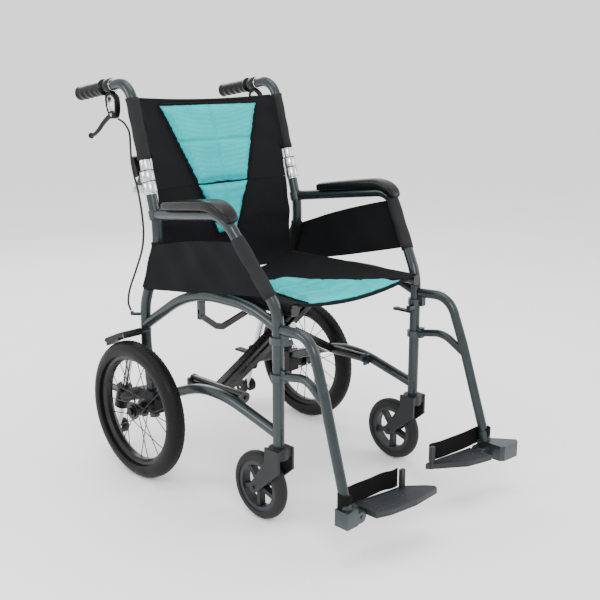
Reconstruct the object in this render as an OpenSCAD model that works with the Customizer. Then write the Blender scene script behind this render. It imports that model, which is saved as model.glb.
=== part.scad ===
// Attendant-propelled folding wheelchair.
// The user faces -Y, X runs across the chair and +Z is up.
// Side modules are written for the user's left (+X) and mirrored for the right (-X).

/* [Frame] */
// Distance between the side frames, from tube centre to tube centre
frame_w = 458; // [450:1:480]
// Outer diameter of the main frame tubes
tube_d = 25; // [24:0.5:26]
// Outer diameter of the arched side tubes
arch_d = 24; // [22:0.5:24]
// Outer diameter of the legrest tubes
hanger_d = 22; // [20:0.5:22]
// Wall thickness of the tubes
tube_wall = 2; // [1.5:0.1:3]
// Height of the armrest tube at its front bend
arm_z = 671; // [660:1:680]
// How far the armrest flares outward at the front
arm_flare = 40; // [30:1:45]

/* [Seat and back] */
// Height of the seat rails
rail_z = 480; // [478:0.5:482]
// Thickness of the seat sling
seat_t = 9; // [6:1:12]
// Thickness of the back upholstery
back_t = 14; // [10:1:18]
// Sag of the seat sling at its middle
seat_sag = 22; // [10:1:30]

/* [Rear wheels] */
// Outer radius of the rear tyre
wheel_r = 168; // [166:1:169]
// Width of the rear tyre
tyre_w = 44; // [40:1:46]
// Distance from the chair's middle to the rear wheel's middle
wheel_x = 287; // [286:1:290]
// Number of spokes in each rear wheel
spoke_n = 20; // [12:4:28]

/* [Castors] */
// Outer radius of the castor wheel
castor_r = 77.5; // [75:0.5:78]
// Width of the castor tyre
castor_w = 30; // [26:1:32]
// Distance that the castor axle trails behind its swivel axis
castor_trail = 57; // [50:1:60]

/* [Push handles] */
// Height of the bend at the top of the push handle
handle_z = 936; // [930:1:945]
// Diameter of the hand grip
grip_d = 32; // [30:1:34]

/* [Footrests] */
// Height of the footplate hinge
plate_z = 98; // [95:1:100]
// Thickness of the footplate
plate_t = 12; // [10:1:13]
// Height of the upright blade that holds the heel strap
blade_h = 40; // [30:1:42]

/* [Hidden] */
$fn = 48;

half_w = frame_w / 2;
tube_r = tube_d / 2;
arch_r = arch_d / 2;
hanger_tube_r = hanger_d / 2;
run_gap = 0.3;   // clearance between bodies that move past each other
weld_gap = 0.02; // line of weld between pieces that stand on each other
pin_gap = 0.05;  // running clearance of a pin in its hole
swell = 0.05;    // a drawn bend is a little fuller than its straights
overlap = 0.6;   // length that a straight runs into its bend

// Front post, leg and armrest
post_y = -215;
post_foot_z = 183;
knee_z = 482;
arm_front = [half_w + arm_flare, -97, arm_z];
arm_back = [half_w, 191, 636];
knee_r = 100;
arm_bend_r = 60;

// Rear post, as [y, z]
rear_post_line = [[211, 702], [188, 620], [186, 566], [246, 413], [249, 318], [225, 131]];
rear_post_bends = [40, 120, 120, 200];
rear_post_top = yz(half_w, rear_post_line[0]);
rear_post_low = yz(half_w, rear_post_line[5]);

// Side arches, as [y, z]
upper_arch_line = [[244, 363], [67, 476], [-133, 477], [-210, 447]];
upper_arch_bends = [330, 300];
lower_arch_line = [[233, 178], [45, 252], [-55, 252], [-210, 212]];
lower_arch_bends = [250, 330];
ear_t = 6;
ear_front_y = -82;
ear_back_y = 98;
saddle_l = 20;
saddle_ys = [-140, 70];

// Cross brace
foot_x = 202;
foot_z = 252;
foot_r = 11;
bar_t = 20;
bar_h = 20;
bar_a_y = 11;
bar_b_y = 35;
stay_y = -17;
stay_t = 10;
rail_r = 11;
rail_front_y = -236;
rail_back_y = 150;
brace_rise = rail_z - foot_z;
brace_angle = atan2(brace_rise, 2 * foot_x);
brace_len = norm([2 * foot_x, brace_rise]);
brace_mid_z = (rail_z + foot_z) / 2;
pivot_pin_r = 5;
bolt_r = 6;

// Link arm between the upper arch and a brace
link_x = 215;
link_z = 419;
link_y = 48;
link_t = 6;
link_reach = 147.6;
link_drop = 14;

// Rear wheel
wheel_y = 213;
wheel_z = wheel_r;
tyre_sec_r = tyre_w / 2;
rim_r = 136;
rim_in_r = 122;
rim_w = 26;
hub_r = 15;
flange_r = 22;
hub_half = 21;
axle_r = 6;

// Castor
castor_axle_r = 4;
fork_in = 18;
fork_t = 6;
crown_z = 158;
castor_rim_r = 58;

// Backrest canes
lean = atan2(rear_post_line[0].x - rear_post_line[1].x, rear_post_line[0].y - rear_post_line[1].y);
lean_dir = [0, sin(lean), cos(lean)];
back_dir = [0, cos(lean), -sin(lean)];
cane_foot = rear_post_top;
cane_corner = [half_w, cane_foot.y + (handle_z - cane_foot.z) * tan(lean), handle_z];
handle_end = [half_w, 480.8, 905];
handle_dir = unit(handle_end - cane_corner);
handle_bend_r = 50;
collar_r = 16.5;
cane_pin = [half_w, 251, 691];
cane_pin_r = 3.5;
grip_l_mm = 108;
grip_r = grip_d / 2;
brake_pivot = [half_w, 340, 858];
latch_pivot = cane_foot + lean_dir * 30 + back_dir * 27;

// Brake arm over the rear tyre
arm_pivot = [half_w + 22, 238, 350];
arm_pin_r = 4;
pad_gap = 4.5;
arm_w = 50;

// Legrest
hanger_line = [
    [half_w, post_y - 15, 443], [half_w + 4, -312, 447], [half_w + 8, -352, 340], [half_w + 14, -421, 122]
];
hanger_bends = [55, 200];
collar_zs = [340, 419.5];
collar_h = 15;
hinge_x = 218;
hinge_y = -425;
hinge_r = 4;
ear_r = 12;
// Outlines of each footplate, its hinge block and its blade, measured from the hinge
plate_out_r = [
    [-18, 26], [-120, 8], [-150, 4], [-188, -30], [-200, -46], [-194, -56], [-120, -60], [-50, -50], [-18, -38]
];
plate_out_l = [[-18, 17], [-70, 24], [-155, 36], [-163, 34], [-158, 26], [-86, -26], [-50, -36], [-18, -44]];
block_out_r = [[ear_r, 17], [44, 17], [44, -17], [ear_r, -17]];
block_out_l = [[ear_r, 17], [30, 15], [77, -49], [67, -58], [20, -54], [ear_r, -46]];
blade_at_r = [-152, -4];
blade_at_l = [-157, 22];

// Anti-tip tube
tip_top = [225, 325, 270];
tip_low = [225, 397, 54];
tip_dir = unit(tip_low - tip_top);
tip_r = 9;
tip_wheel_r = 19;
tip_wheel_w = 12;
tip_wheel_x = 16;

// Brake cable: from the lever housing, down inside the back sleeve, out in a loop to the post
cable_r = 2.5;
cable_route = [
    [230, 322, 848], [230, 300, 840], [232, 278, 820], [240, 264, 790], [246, 254, 755], [247, 244, 722],
    [249, 232, 700], [250, 222, 670], [249, 216, 630], [249, 214, 590], [250, 222, 550], [252, 246, 500],
    [254, 272, 450], [254, 281, 415], [252, 274, 396]
];
cable_steps = 5;
cable_sides = 8;

function unit(v) = v / norm(v);
function yz(x, p) = [x, p.x, p.y];
function across(v) = unit(cross(v, abs(v.x) < 0.7 ? [1, 0, 0] : [0, 1, 0]));
function turn(a, b, c) = acos(unit(b - a) * unit(c - b));
function trim(a, b, c, r) = r * tan(turn(a, b, c) / 2);
function trims(pts, bends) = [
    for (i = [0 : len(pts) - 1])
        i == 0 || i == len(pts) - 1 ? 0 : trim(pts[i - 1], pts[i], pts[i + 1], bends[i - 1])
];
function at_x(x, line) = [for (p = line) yz(x, p)];

// Placing helpers
module frame_at(p, x, y, z) {
    multmatrix([[x.x, y.x, z.x, p.x], [x.y, y.y, z.y, p.y], [x.z, y.z, z.z, p.z], [0, 0, 0, 1]]) children();
}
module along(p, q) {
    z = unit(q - p);
    x = across(z);
    frame_at(p, x, cross(z, x), z) children();
}
module on_right() {
    mirror([1, 0, 0]) children();
}
module rod(p, q, r) {
    along(p, q) cylinder(r = r, h = norm(q - p));
}
// A plate drawn in the YZ plane, t thick from x outward
module side_plate(x, t) {
    translate([x, 0, 0]) rotate([90, 0, 90]) linear_extrude(t) children();
}
// A plate drawn in the XZ plane, t thick from y towards +Y
module cross_plate(y, t) {
    translate([0, y + t, 0]) rotate([90, 0, 0]) linear_extrude(t) children();
}

// Bent tubes
module ring(r, wall) {
    difference() {
        circle(r);
        if (wall < r) circle(r - wall);
    }
}
module tube(p, q, r, wall = tube_wall) {
    along(p, q) linear_extrude(norm(q - p)) ring(r, wall);
}
module bend(a, b, c, bend_r, r, wall) {
    u = unit(b - a);
    v = unit(c - b);
    n = unit(v - (u * v) * u);
    start = b - u * trim(a, b, c, bend_r);
    frame_at(start + n * bend_r, -n, u, cross(u, n))
        rotate_extrude(angle = turn(a, b, c)) translate([bend_r, 0]) ring(r + swell, wall + 2 * swell);
}
module bent_tube(pts, bends, r, wall = tube_wall) {
    cut = trims(pts, bends);
    last = len(pts) - 2;
    for (i = [0 : last]) {
        d = unit(pts[i + 1] - pts[i]);
        tube(
            pts[i] + d * (i == 0 ? 0 : cut[i] - overlap),
            pts[i + 1] - d * (i == last ? 0 : cut[i + 1] - overlap), r, wall
        );
    }
    for (i = [1 : len(pts) - 2]) bend(pts[i - 1], pts[i], pts[i + 1], bends[i - 1], r, wall);
}
// The filled outer form of a bent tube, to cut what is welded or clamped to it
module core(pts, bends, r) {
    bent_tube(pts, bends, r, 2 * r);
}
module side_core(gap) {
    core([[half_w, post_y, post_foot_z], [half_w, post_y, knee_z], arm_front, arm_back], [knee_r, arm_bend_r], tube_r + gap);
}
module post_core(gap) {
    core(at_x(half_w, rear_post_line), rear_post_bends, tube_r + gap);
}
module upper_core(gap) {
    core(at_x(half_w, upper_arch_line), upper_arch_bends, arch_r + gap);
}
module lower_core(gap) {
    core(at_x(half_w, lower_arch_line), lower_arch_bends, arch_r + gap);
}

// Side frame
module side_tube() {
    eye = arm_back - unit(arm_back - arm_front) * (tube_r + 2);
    color("darkslategray") difference() {
        union() {
            bent_tube(
                [[half_w, post_y, post_foot_z], [half_w, post_y, knee_z], arm_front, eye],
                [knee_r, arm_bend_r], tube_r
            );
            rod(arm_back - lean_dir * 11, arm_back + lean_dir * 11, collar_r);
        }
        post_core(pin_gap);
    }
}
module rear_post() {
    stop = [half_w + 21, 274, 392];
    color("darkslategray") bent_tube(at_x(half_w, rear_post_line), rear_post_bends, tube_r);
    color("darkslategray") difference() {
        union() {
            rod([half_w, 247, 388], [half_w + 21, 268, 388], 4);
            rod(stop - [0, 2, 8], stop + [0, 0, 2], 4.5);
            rod([half_w, arm_pivot.y, arm_pivot.z], [arm_pivot.x + arm_w + 2, arm_pivot.y, arm_pivot.z], arm_pin_r);
        }
        rod(yz(half_w, rear_post_line[3]), yz(half_w, rear_post_line[4]), tube_r - 0.5);
    }
}
module arch(line, bends) {
    difference() {
        bent_tube(at_x(half_w, line), bends, arch_r);
        side_core(weld_gap);
        post_core(weld_gap);
    }
}
module ear(y) {
    difference() {
        cross_plate(y, ear_t) {
            translate([foot_x, foot_z]) circle(foot_r + 1);
            translate([foot_x, foot_z - 20]) square([19, 26]);
        }
        rod([foot_x, y - 1, foot_z], [foot_x, y + ear_t + 1, foot_z], pivot_pin_r + pin_gap);
        lower_core(weld_gap);
    }
}
module side_arches() {
    color("darkslategray") {
        arch(upper_arch_line, upper_arch_bends);
        arch(lower_arch_line, lower_arch_bends);
        ear(ear_front_y);
        ear(ear_back_y);
        for (y = saddle_ys) difference() {
            translate([foot_x - 11, y, rail_z - rail_r - 1.2 - 14]) cube([34, saddle_l, 14]);
            upper_core(weld_gap);
        }
        difference() {
            cross_plate(link_y - 1, link_t + 2) translate([link_x - 9, link_z - 9]) square([18, 55]);
            upper_core(weld_gap);
            cross_plate(link_y - run_gap, link_t + 2 * run_gap) translate([link_x, link_z]) circle(17.6);
            rod([link_x, link_y - 3, link_z], [link_x, link_y + link_t + 3, link_z], arm_pin_r + pin_gap);
        }
    }
}
module arm_pad() {
    dir = unit(arm_front - arm_back);
    back = arm_back + dir * 72;
    front = arm_front + dir * 4;
    side = unit(cross([0, 0, 1], dir));
    color("black") difference() {
        frame_at(back, side, cross(dir, side), dir) translate([0, tube_r - 2]) linear_extrude(norm(front - back))
            polygon([[-20, 0], [20, 0], [23, 4], [24, 14], [19, 24], [-19, 24], [-24, 14], [-23, 4]]);
        side_core(weld_gap);
    }
}
module skirt_guard(lift) {
    color("#26272a") difference() {
        translate([half_w - 1, 190, 0]) rotate([0, 0, 4]) translate([0, -190, 0]) side_plate(-2, 4) polygon([
            [222, 453], [188, 562], [120, 580], [0, 612 + lift / 2], [-124, 630 + lift], [-198, 516 + lift],
            [-60, 500 + lift / 2], [60, 486], [150, 464]
        ]);
        side_core(run_gap);
        post_core(run_gap);
        upper_core(run_gap);
    }
}

// Rear wheel
module wheel_place(y, z) {
    translate([wheel_x, y, z]) rotate([0, 90, 0]) children();
}
module tyre() {
    color("#1b1b1c") wheel_place(wheel_y, wheel_z) rotate_extrude() difference() {
        translate([wheel_r - tyre_sec_r, 0]) circle(tyre_sec_r);
        translate([0, -tyre_sec_r - 1]) square([rim_r, tyre_w + 2]);
    }
}
module rim() {
    rim_half = rim_w / 2;
    color("#151515") wheel_place(wheel_y, wheel_z) rotate_extrude() polygon([
        [rim_in_r, -6], [rim_in_r + 5, -rim_half], [rim_r, -rim_half], [rim_r, rim_half],
        [rim_in_r + 5, rim_half], [rim_in_r, 6]
    ]);
}
module spoke(i) {
    turn_deg = 360 / spoke_n;
    side = i % 2 == 0 ? 1 : -1;
    way = floor(i / 2) % 2 == 0 ? 1 : -1;
    a = i * turn_deg;
    root_r = flange_r + 1.5;
    rod(
        [side * (15 + 1.7 * way), root_r * cos(a + way * 52), root_r * sin(a + way * 52)],
        [side * 3, (rim_in_r - 0.3) * cos(a), (rim_in_r - 0.3) * sin(a)], 1.1
    );
}
module hub() {
    color("#202124") translate([wheel_x, wheel_y, wheel_z]) {
        difference() {
            union() {
                rod([-hub_half, 0, 0], [hub_half, 0, 0], hub_r);
                for (side = [-15, 15]) rod([side - 2, 0, 0], [side + 2, 0, 0], flange_r);
            }
            rod([-hub_half - 1, 0, 0], [hub_half + 1, 0, 0], axle_r + pin_gap);
        }
        for (i = [0 : spoke_n - 1]) spoke(i);
    }
}
module axle_block() {
    housing_a = [tip_top.x, 262, 186];
    housing_b = tip_low - tip_dir * 100;
    color("#1d1e20") difference() {
        union() {
            translate([half_w - 19, 200, 146]) cube([38, 62, 56]);
            rod([half_w, wheel_y, wheel_z], [wheel_x - hub_half - 1, wheel_y, wheel_z], 12);
            rod([half_w, wheel_y, wheel_z], [wheel_x + hub_half + 4, wheel_y, wheel_z], axle_r);
            rod([wheel_x + hub_half + 1, wheel_y, wheel_z], [wheel_x + hub_half + 5, wheel_y, wheel_z], 9);
            rod(housing_a - [0, 6, 0], housing_b, 17);
            rod(housing_b - tip_dir * 30, housing_b + tip_dir * 30, 19);
            translate([half_w - 15, 372, 157]) cube([22, 60, 6]);
        }
        post_core(pin_gap);
        rod(tip_top, tip_low, tip_r + pin_gap);
        lower_core(run_gap);
    }
}
module anti_tip_tube() {
    hub_at = tip_low;
    color("silver") difference() {
        union() {
            tube(tip_top, tip_low + tip_dir * 2, tip_r);
            rod(hub_at - [9, 0, 0], hub_at + [9, 0, 0], 10);
            rod(hub_at - [24, 0, 0], hub_at + [24, 0, 0], 3);
        }
    }
}
module anti_tip_wheels() {
    color("#1b1b1c") for (side = [-1, 1]) difference() {
        translate(tip_low + [side * tip_wheel_x, 0, 0]) rotate([0, 90, 0])
            cylinder(r = tip_wheel_r, h = tip_wheel_w, center = true);
        rod(tip_low - [30, 0, 0], tip_low + [30, 0, 0], 3 + pin_gap);
    }
}

// Castor
module castor_fork() {
    axle_y = post_y + castor_trail;
    out = fork_in + fork_t;
    color("#23282b") {
        translate([half_w, post_y, crown_z]) cylinder(r = 22, h = post_foot_z - crown_z - run_gap);
        translate([half_w, post_y, crown_z]) cylinder(r = tube_r - tube_wall - 0.1, h = 60);
        for (x = [-out, fork_in]) difference() {
            side_plate(half_w + x, fork_t) {
                polygon([
                    [post_y - 22, 182], [post_y + 20, 182], [post_y + 20, 150],
                    [axle_y + 9, castor_r + 8], [axle_y - 9, castor_r - 8], [post_y - 22, 132]
                ]);
                translate([axle_y, castor_r]) circle(12);
            }
        }
        translate([half_w - out, post_y - 20, crown_z + 4]) cube([2 * out, 36, 20]);
        rod([half_w - out - 3, axle_y, castor_r], [half_w + out + 3, axle_y, castor_r], castor_axle_r);
    }
}
module castor_place() {
    translate([half_w, post_y + castor_trail, castor_r]) rotate([0, 90, 0]) children();
}
module castor_hub() {
    color("#24282b") castor_place() difference() {
        union() {
            cylinder(r = 12, h = 34, center = true);
            difference() {
                cylinder(r = castor_rim_r, h = 24, center = true);
                cylinder(r = 48, h = 30, center = true);
            }
            for (a = [0 : 72 : 359]) rotate([0, 0, a]) translate([8, -5, -8]) cube([44, 10, 16]);
        }
        cylinder(r = castor_axle_r + pin_gap, h = 40, center = true);
    }
}
module castor_tyre() {
    sec = castor_w / 2;
    color("#2a2a2c") castor_place() rotate_extrude() difference() {
        translate([castor_r - sec, 0]) circle(sec);
        translate([0, -sec - 1]) square([castor_rim_r, castor_w + 2]);
    }
}

// Backrest canes, brakes and latch
module cane_joint() {
    low = cane_foot - lean_dir * 22;
    top = cane_foot + lean_dir * 6;
    color("silver") {
        difference() {
            union() {
                rod(low, top, collar_r);
                for (x = [-12, 7]) side_plate(half_w + x, 5) polygon([
                    [205, 684], [cane_pin.y + 6, cane_pin.z - 8], [cane_pin.y + 8, cane_pin.z + 5],
                    [cane_pin.y - 3, cane_pin.z + 9], [208, 702]
                ]);
            }
            rod(low - lean_dir, cane_foot + lean_dir * 0.5, tube_r + pin_gap);
            side_plate(half_w - 7, 14) polygon([[228.5, 670], [270, 670], [270, 720], [228.5, 720]]);
        }
        rod(cane_pin - [14, 0, 0], cane_pin + [14, 0, 0], cane_pin_r);
    }
}
module cane() {
    split = cane_foot + lean_dir * 6.5;
    color("darkslategray") {
        bent_tube([split, cane_corner, handle_end - handle_dir * 4], [handle_bend_r], tube_r);
        difference() {
            rod(split, split + lean_dir * 28, collar_r);
            rod(split - lean_dir, split + lean_dir * 29, tube_r - 0.5);
        }
        difference() {
            side_plate(half_w - 6.5, 13) polygon([
                [214, 713], [230, 710], [cane_pin.y - 7, cane_pin.z - 3], [cane_pin.y - 2, cane_pin.z - 8],
                [cane_pin.y + 6, cane_pin.z - 5], [cane_pin.y + 8, cane_pin.z + 4], [236, 730], [222, 734]
            ]);
            rod(cane_pin - [20, 0, 0], cane_pin + [20, 0, 0], cane_pin_r + pin_gap);
            rod(split - lean_dir * 30, split + lean_dir * 60, tube_r - 0.5);
            rod(split - lean_dir * 30, split, collar_r + 1);
        }
        difference() {
            side_plate(half_w - 4, 8) {
                translate([latch_pivot.y, latch_pivot.z]) circle(5);
                polygon([
                    [latch_pivot.y, latch_pivot.z - 5], [latch_pivot.y + 2, latch_pivot.z + 4],
                    [cane_foot.y + 14, cane_foot.z + 40], [cane_foot.y + 10, cane_foot.z + 20]
                ]);
            }
            rod(split - lean_dir * 30, split + lean_dir * 60, tube_r - 0.5);
        }
        rod(latch_pivot - [9, 0, 0], latch_pivot + [9, 0, 0], 2);
    }
}
module cane_latch() {
    side = 9;
    color("black") difference() {
        union() {
            side_plate(half_w - side, 2 * side) polygon([
                [latch_pivot.y - 2, latch_pivot.z - 2], [latch_pivot.y + 6, latch_pivot.z - 6],
                [latch_pivot.y + 25, latch_pivot.z + 34], [latch_pivot.y + 20, latch_pivot.z + 42],
                [latch_pivot.y + 12, latch_pivot.z + 40], [latch_pivot.y - 1, latch_pivot.z + 8]
            ]);
        }
        rod(latch_pivot - [20, 0, 0], latch_pivot + [20, 0, 0], 2 + pin_gap);
        side_plate(half_w - 4 - run_gap, 8 + 2 * run_gap) translate([latch_pivot.y, latch_pivot.z]) circle(14);
    }
}
module grip() {
    root = handle_end - handle_dir * grip_l_mm;
    color("black") difference() {
        union() {
            rod(root, handle_end, grip_r);
            rod(root - handle_dir * 4, root + handle_dir, grip_r + 2);
            rod(handle_end - handle_dir, handle_end + handle_dir * 2, grip_r - 3);
        }
        rod(root - handle_dir * 5, handle_end - handle_dir * 3.9, tube_r + pin_gap);
    }
}
module brake_housing() {
    clamp = handle_end - handle_dir * (grip_l_mm + 24);
    color("#1a1b1d") difference() {
        union() {
            rod(clamp - handle_dir * 10, clamp + handle_dir * 10, tube_r + 4);
            side_plate(half_w - 11, 22) polygon([
                [328, 915], [366, 909], [364, 880], [352, 848], [330, 844], [322, 852], [322, 880]
            ]);
        }
        rod(clamp - handle_dir * 40, clamp + handle_dir * 40, tube_r + pin_gap);
        side_plate(half_w - 5 - run_gap, 10 + 2 * run_gap) union() {
            polygon([[335, 866], [370, 885], [370, 830], [332, 830]]);
            translate([brake_pivot.y, brake_pivot.z]) circle(8.4);
        }
        rod(brake_pivot - [20, 0, 0], brake_pivot + [20, 0, 0], 3);
    }
}
module brake_lever() {
    ball = [half_w, 442, 805];
    color("#1a1b1d") {
        side_plate(half_w - 5, 10) polygon([
            [335, 863], [344, 864], [372, 850], [404, 832], [441, 809], [438, 801], [400, 822],
            [368, 840], [352, 848], [337, 852]
        ]);
        rod(brake_pivot - [10.5, 0, 0], brake_pivot + [10.5, 0, 0], 3 - pin_gap);
        translate(ball) sphere(8);
    }
}
function spline(a, b, c, d, t) = 0.5 * (
    2 * b + (c - a) * t + (2 * a - 5 * b + 4 * c - d) * t * t + (3 * b - a - 3 * c + d) * t * t * t
);
function smooth_route(pts, steps) = [
    for (i = [0 : len(pts) - 2])
        let (before = pts[max(i - 1, 0)], after = pts[min(i + 2, len(pts) - 1)])
            for (k = [0 : steps - 1]) spline(before, pts[i], pts[i + 1], after, k / steps),
    pts[len(pts) - 1]
];
// A round cord swept along its route, closed at both ends
module cord(route, r, sides) {
    n = len(route);
    rings = [
        for (i = [0 : n - 1])
            let (
                d = unit(route[min(i + 1, n - 1)] - route[max(i - 1, 0)]),
                u = unit(cross(d, [1, 0, 0])),
                v = cross(d, u)
            )
                for (k = [0 : sides - 1]) route[i] + r * (u * cos(360 * k / sides) + v * sin(360 * k / sides))
    ];
    walls = [
        for (i = [0 : n - 2])
            for (k = [0 : sides - 1])
                let (next = (k + 1) % sides)
                    [i * sides + k, (i + 1) * sides + k, (i + 1) * sides + next, i * sides + next]
    ];
    first_end = [for (k = [0 : sides - 1]) k];
    last_end = [for (k = [0 : sides - 1]) n * sides - 1 - k];
    polyhedron(rings, concat(walls, [first_end, last_end]));
}
module brake_cable() {
    color("#141414") cord(smooth_route(cable_route, cable_steps), cable_r, cable_sides);
}
module brake_arm() {
    color("#1a1b1d") difference() {
        union() {
            side_plate(arm_pivot.x, arm_w) polygon([
                [229, 345], [230, 354], [240, 359], [262, 351], [318, 327], [322, 321], [318, 317], [262, 340]
            ]);
            side_plate(wheel_x - 14, 28) polygon([[262, 345], [316, 322], [310, 298], [262, 304]]);
        }
        rod([200, arm_pivot.y, arm_pivot.z], [310, arm_pivot.y, arm_pivot.z], arm_pin_r + pin_gap);
        translate([wheel_x, wheel_y, wheel_z]) rotate([0, 90, 0])
            cylinder(r = wheel_r + pad_gap, h = 120, center = true);
    }
}

// Legrest
module hanger(block_out) {
    brace_line = [
        [half_w, post_y - 14, 343], [half_w + 2, -300, 356], [half_w + 9, -358, 316]
    ];
    color("darkslategray") {
        bent_tube(hanger_line, hanger_bends, hanger_tube_r);
        difference() {
            bent_tube(brace_line, [60], 9);
            rod(hanger_line[2] + [0, 12, 37], hanger_line[3], hanger_tube_r - 1);
            side_core(run_gap);
        }
        for (z = collar_zs) difference() {
            union() {
                translate([half_w, post_y, z - collar_h / 2]) cylinder(r = tube_r + 5, h = collar_h);
                translate([half_w - 7, post_y - 26, z - collar_h / 2]) cube([14, 12, collar_h + 10]);
            }
            translate([half_w, post_y, z - 30]) cylinder(r = tube_r + run_gap, h = 80);
            if (z > collar_zs[0]) rod(hanger_line[0] + [0, 30, 0], hanger_line[1], hanger_tube_r - 1);
        }
        translate([half_w - 33, post_y - 11, collar_zs[1] - 15.5]) cube([19, 12, 9.5]);
        translate([half_w - 26, post_y - 5, collar_zs[1] - 23.5]) cylinder(r = 2.5, h = 12);
    }
    color("#23282b") difference() {
        union() {
            translate([hinge_x, hinge_y, plate_z - 14]) linear_extrude(36) polygon(block_out);
            cross_plate(hinge_y - 17, 34) translate([hinge_x, plate_z]) {
                circle(ear_r);
                translate([0, -ear_r]) square([ear_r + 2, 2 * ear_r - 1]);
            }
            rod(hanger_line[3] - [0, 0, 6], hanger_line[3] + unit(hanger_line[2] - hanger_line[3]) * 20, 14);
        }
        translate([hinge_x - 20, hinge_y - 9, plate_z - 20]) cube([20 + ear_r - 1, 18, 50]);
        rod([hinge_x, hinge_y - 30, plate_z], [hinge_x, hinge_y + 30, plate_z], hinge_r + pin_gap);
        rod(hanger_line[3] + [0, 0, 6], hanger_line[2], hanger_tube_r - 1);
    }
    color("silver") rod([hinge_x, hinge_y - 19, plate_z], [hinge_x, hinge_y + 19, plate_z], hinge_r);
}
module release_lever() {
    low = collar_zs[1] - 16;
    color("black") difference() {
        translate([half_w - 26, post_y - 5, low - 6]) {
            cylinder(r = 7, h = 6);
            translate([-7, 0, 0]) cube([14, 40, 5]);
            translate([0, 40, 0]) cylinder(r = 9, h = 5);
        }
        translate([half_w - 26, post_y - 5, low - 10]) cylinder(r = 2.5 + pin_gap, h = 20);
    }
}
module footplate(plate_out, blade_at) {
    color("#2a2f33") difference() {
        translate([hinge_x, hinge_y, 0]) {
            translate([0, 0, plate_z - 2]) linear_extrude(plate_t) polygon(plate_out);
            translate([-24, -8, plate_z - 4]) cube([24, 16, 10]);
            rod([0, -8, plate_z], [0, 8, plate_z], 8);
            translate([blade_at.x, blade_at.y, plate_z]) cube([12, 8, plate_t + blade_h - 2]);
        }
        rod([hinge_x, hinge_y - 12, plate_z], [hinge_x, hinge_y + 12, plate_z], hinge_r + pin_gap);
    }
}
module heel_strap(blade_at) {
    start = [hanger_line[3].x - 14, hinge_y + 18, 0];
    hook = [hinge_x + blade_at.x + 13, hinge_y + blade_at.y + 9, 0];
    run = hook - start;
    color("#222222") translate([start.x, start.y, 114]) rotate([0, 0, atan2(run.y, run.x)])
        cube([norm(run), 3, 32]);
}

// Cross brace
module foot_tube(x) {
    rod([x, ear_front_y + ear_t + run_gap, foot_z], [x, ear_back_y - run_gap, foot_z], foot_r);
    rod([x, ear_front_y - 4, foot_z], [x, ear_front_y + ear_t + 2, foot_z], pivot_pin_r);
    rod([x, ear_back_y - 2, foot_z], [x, ear_back_y + ear_t + 4, foot_z], pivot_pin_r);
}
module seat_rail(x) {
    rod([x, rail_front_y, rail_z], [x, rail_back_y, rail_z], rail_r);
    rod([x, rail_front_y - 3, rail_z], [x, rail_front_y + 2, rail_z], rail_r + 1);
}
// A bar from the foot tube on one side to the seat rail on the other
module brace_bar(y, t, h) {
    translate([-foot_x, y - t / 2, foot_z]) rotate([0, -brace_angle, 0]) translate([0, 0, -h / 2])
        cube([brace_len, t, h]);
}
module brace_a() {
    color("#101010") difference() {
        union() {
            foot_tube(-foot_x);
            seat_rail(foot_x);
            brace_bar(bar_a_y, bar_t, bar_h);
            brace_bar(stay_y, stay_t, 14);
        }
        rod([0, stay_y - 20, brace_mid_z], [0, bar_a_y + 20, brace_mid_z], bolt_r + pin_gap);
    }
}
module brace_b() {
    color("#101010") difference() {
        union() {
            mirror([1, 0, 0]) {
                foot_tube(-foot_x);
                seat_rail(foot_x);
                brace_bar(bar_b_y, bar_t, bar_h);
            }
        }
        rod([0, bar_b_y - 20, brace_mid_z], [0, bar_b_y + 20, brace_mid_z], bolt_r + pin_gap);
    }
}
module brace_bolt() {
    color("silver") {
        rod([0, stay_y - stay_t / 2 - 4, brace_mid_z], [0, bar_b_y + bar_t / 2 + 2.4, brace_mid_z], bolt_r);
        rod([0, bar_a_y + bar_t / 2 + run_gap, brace_mid_z], [0, bar_b_y - bar_t / 2 - run_gap, brace_mid_z], 12);
        rod([0, stay_y - stay_t / 2 - 6, brace_mid_z], [0, stay_y - stay_t / 2 - run_gap, brace_mid_z], 10);
        rod([0, bar_b_y + bar_t / 2 + run_gap, brace_mid_z], [0, bar_b_y + bar_t / 2 + 2.4, brace_mid_z], 10);
    }
}
module link() {
    far = [link_x - link_reach, link_z - link_drop];
    color("#101010") difference() {
        cross_plate(link_y, link_t) {
            translate([link_x, link_z]) circle(8);
            translate(far) circle(8);
            polygon([
                [link_x, link_z + 7], [link_x + 4, link_z - 7], [link_x - 40, link_z - 40],
                [link_x - 62, link_z - 46], [link_x - 84, link_z - 40], [far.x, far.y - 7],
                [far.x, far.y + 7], [link_x - 82, link_z - 26], [link_x - 62, link_z - 31],
                [link_x - 44, link_z - 26]
            ]);
        }
    }
    color("#101010") rod([link_x, link_y - 2, link_z], [link_x, link_y + link_t + 2, link_z], arm_pin_r);
}

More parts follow.
